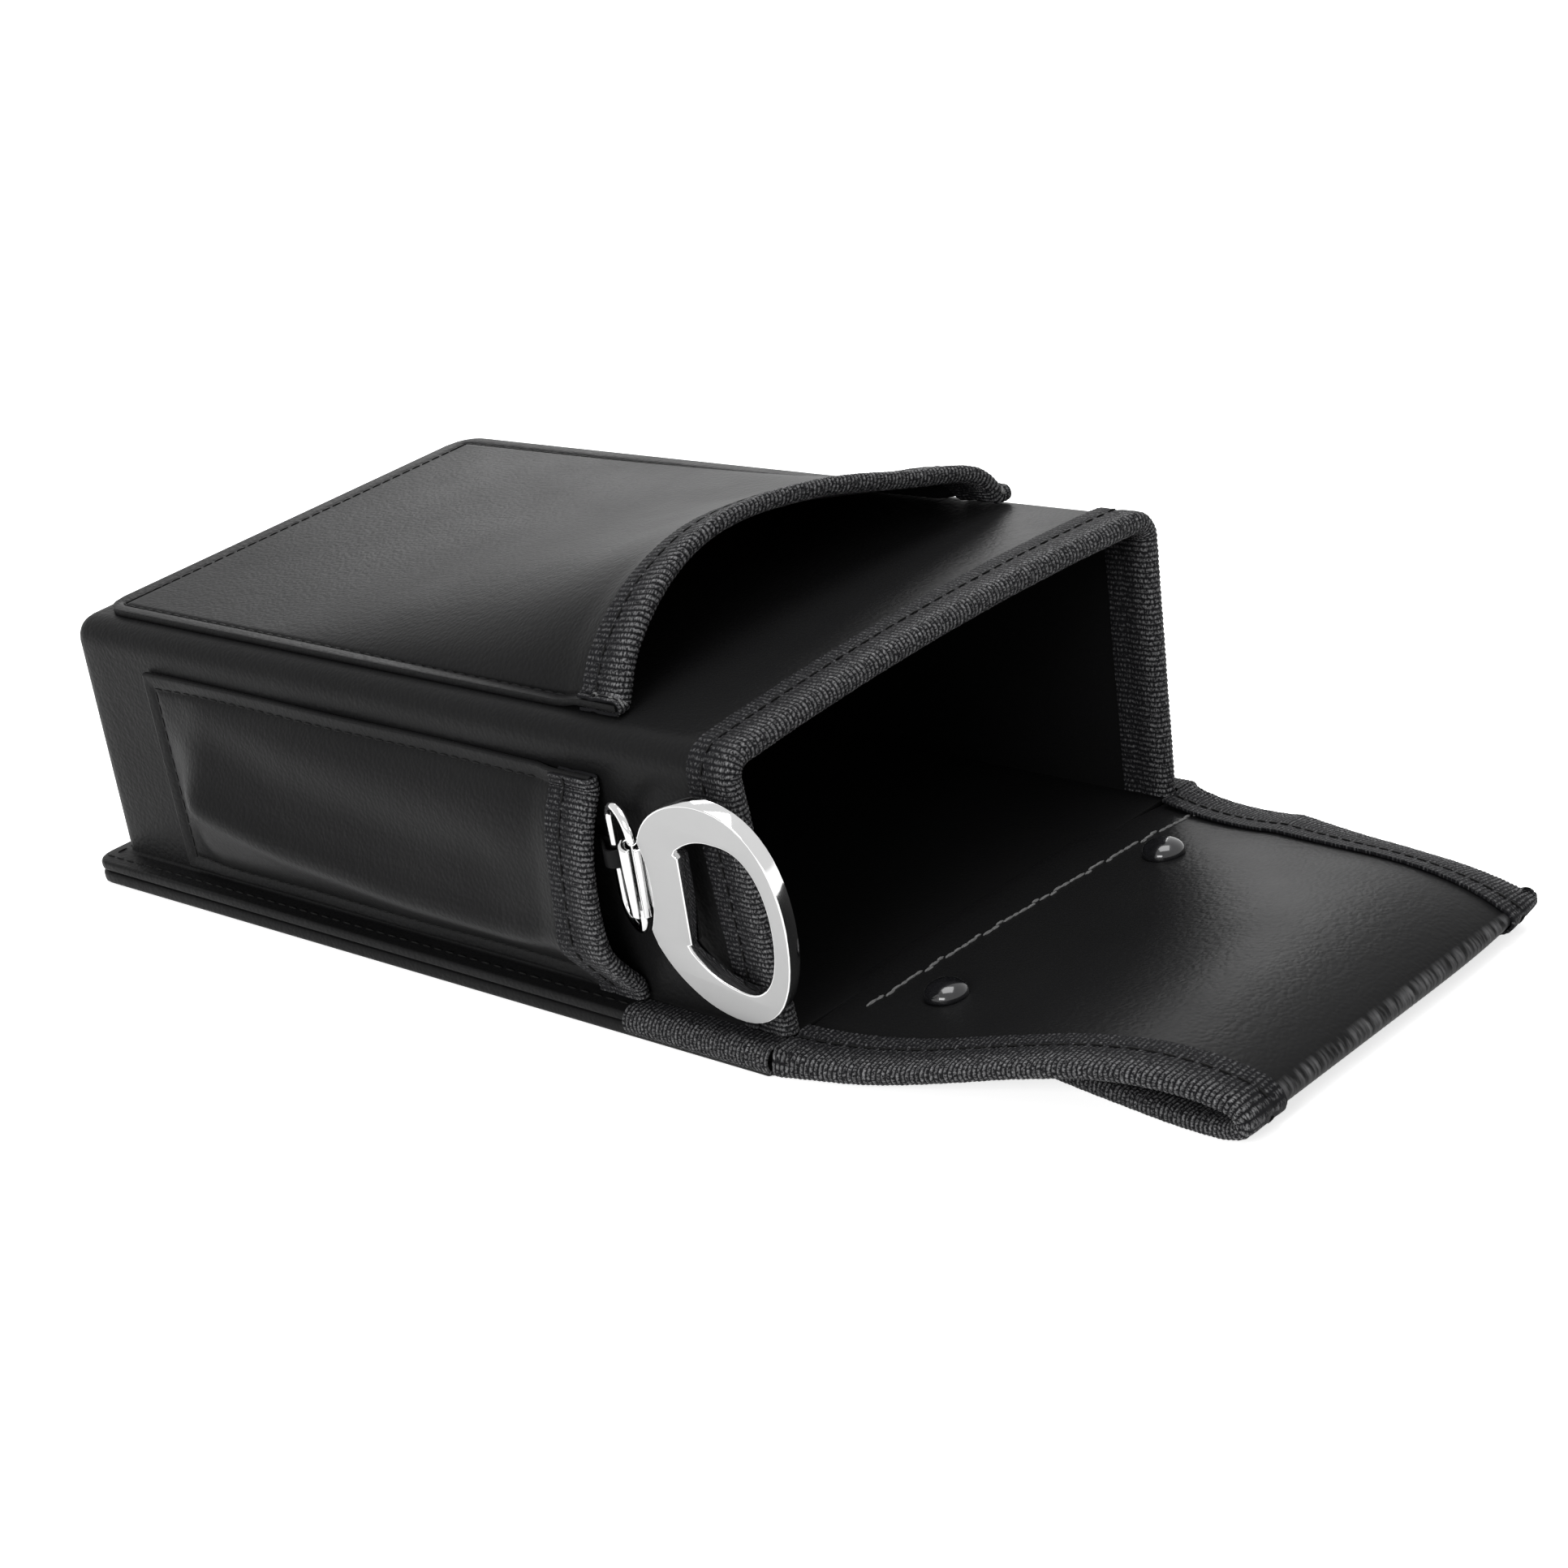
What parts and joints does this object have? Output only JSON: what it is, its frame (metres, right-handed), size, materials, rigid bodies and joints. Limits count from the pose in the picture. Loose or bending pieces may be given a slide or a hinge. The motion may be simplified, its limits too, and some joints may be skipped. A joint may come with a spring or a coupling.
{
  "type": "waiter's belt pouch",
  "caption": "Stiff leather belt pouch for a server's wallet, with a patch pocket on the front, a side pocket carrying a chrome bottle opener, and a folded belt loop past its mouth.",
  "frame": {"origin": "middle of the underside of the pouch's back, below its body", "axes": "+X along the pouch out of its mouth, +Y towards the wall with no pocket, +Z from the back up to the front"},
  "size_m": [0.2709, 0.1243, 0.0822],
  "materials": {
    "leather": "black grained leather with a soft sheen",
    "lining": "black lining cloth, matt",
    "board": "fibre board, hidden between leather and lining",
    "tape": "black ribbed binding tape",
    "opener_steel": "chromed steel, flat faces satin and edges polished",
    "rivet": "glossy black enamel"
  },
  "bodies": {
    "pouch": {"back_panel": "leather", "back_board": "board", "back_lining": "lining", "front_shell": "leather", "mouth_binding": "tape", "flange_binding_near": "tape", "flange_binding_far": "tape", "front_pocket": "leather", "front_pocket_binding": "tape", "side_pocket": "leather", "side_pocket_binding": "tape"},
    "belt_loop": {"loop_strap": "leather", "loop_binding_near": "tape", "loop_binding_far": "tape", "rivet_near": "rivet", "rivet_far": "rivet"},
    "opener_strap": {"opener_strap": "leather"},
    "opener_ring": {"opener_ring": "opener_steel"},
    "opener_head": {"opener_head": "opener_steel"}
  },
  "joints": [
    {"name": "loop_fold", "type": "hinge", "parent": "pouch", "child": "belt_loop", "pos_m": [0.0912, 0, 0.0052], "axis": [0, -1, 0], "range_deg": [0, 45]},
    {"name": "opener_slide", "type": "slide", "parent": "pouch", "child": "opener_strap", "axis": [1, 0, 0], "range_m": [0, 0.006]},
    {"name": "ring_swing", "type": "hinge", "parent": "opener_strap", "child": "opener_ring", "pos_m": [0.06171, -0.05768, 0.03548], "axis": [-0.1878, 0.1558, -0.9698], "range_deg": [0, 60]},
    {"name": "head_swing", "type": "hinge", "parent": "opener_ring", "child": "opener_head", "pos_m": [0.06939, -0.06072, 0.0335], "axis": [-0.1878, 0.1558, -0.9698], "range_deg": [0, 90]}
  ]
}
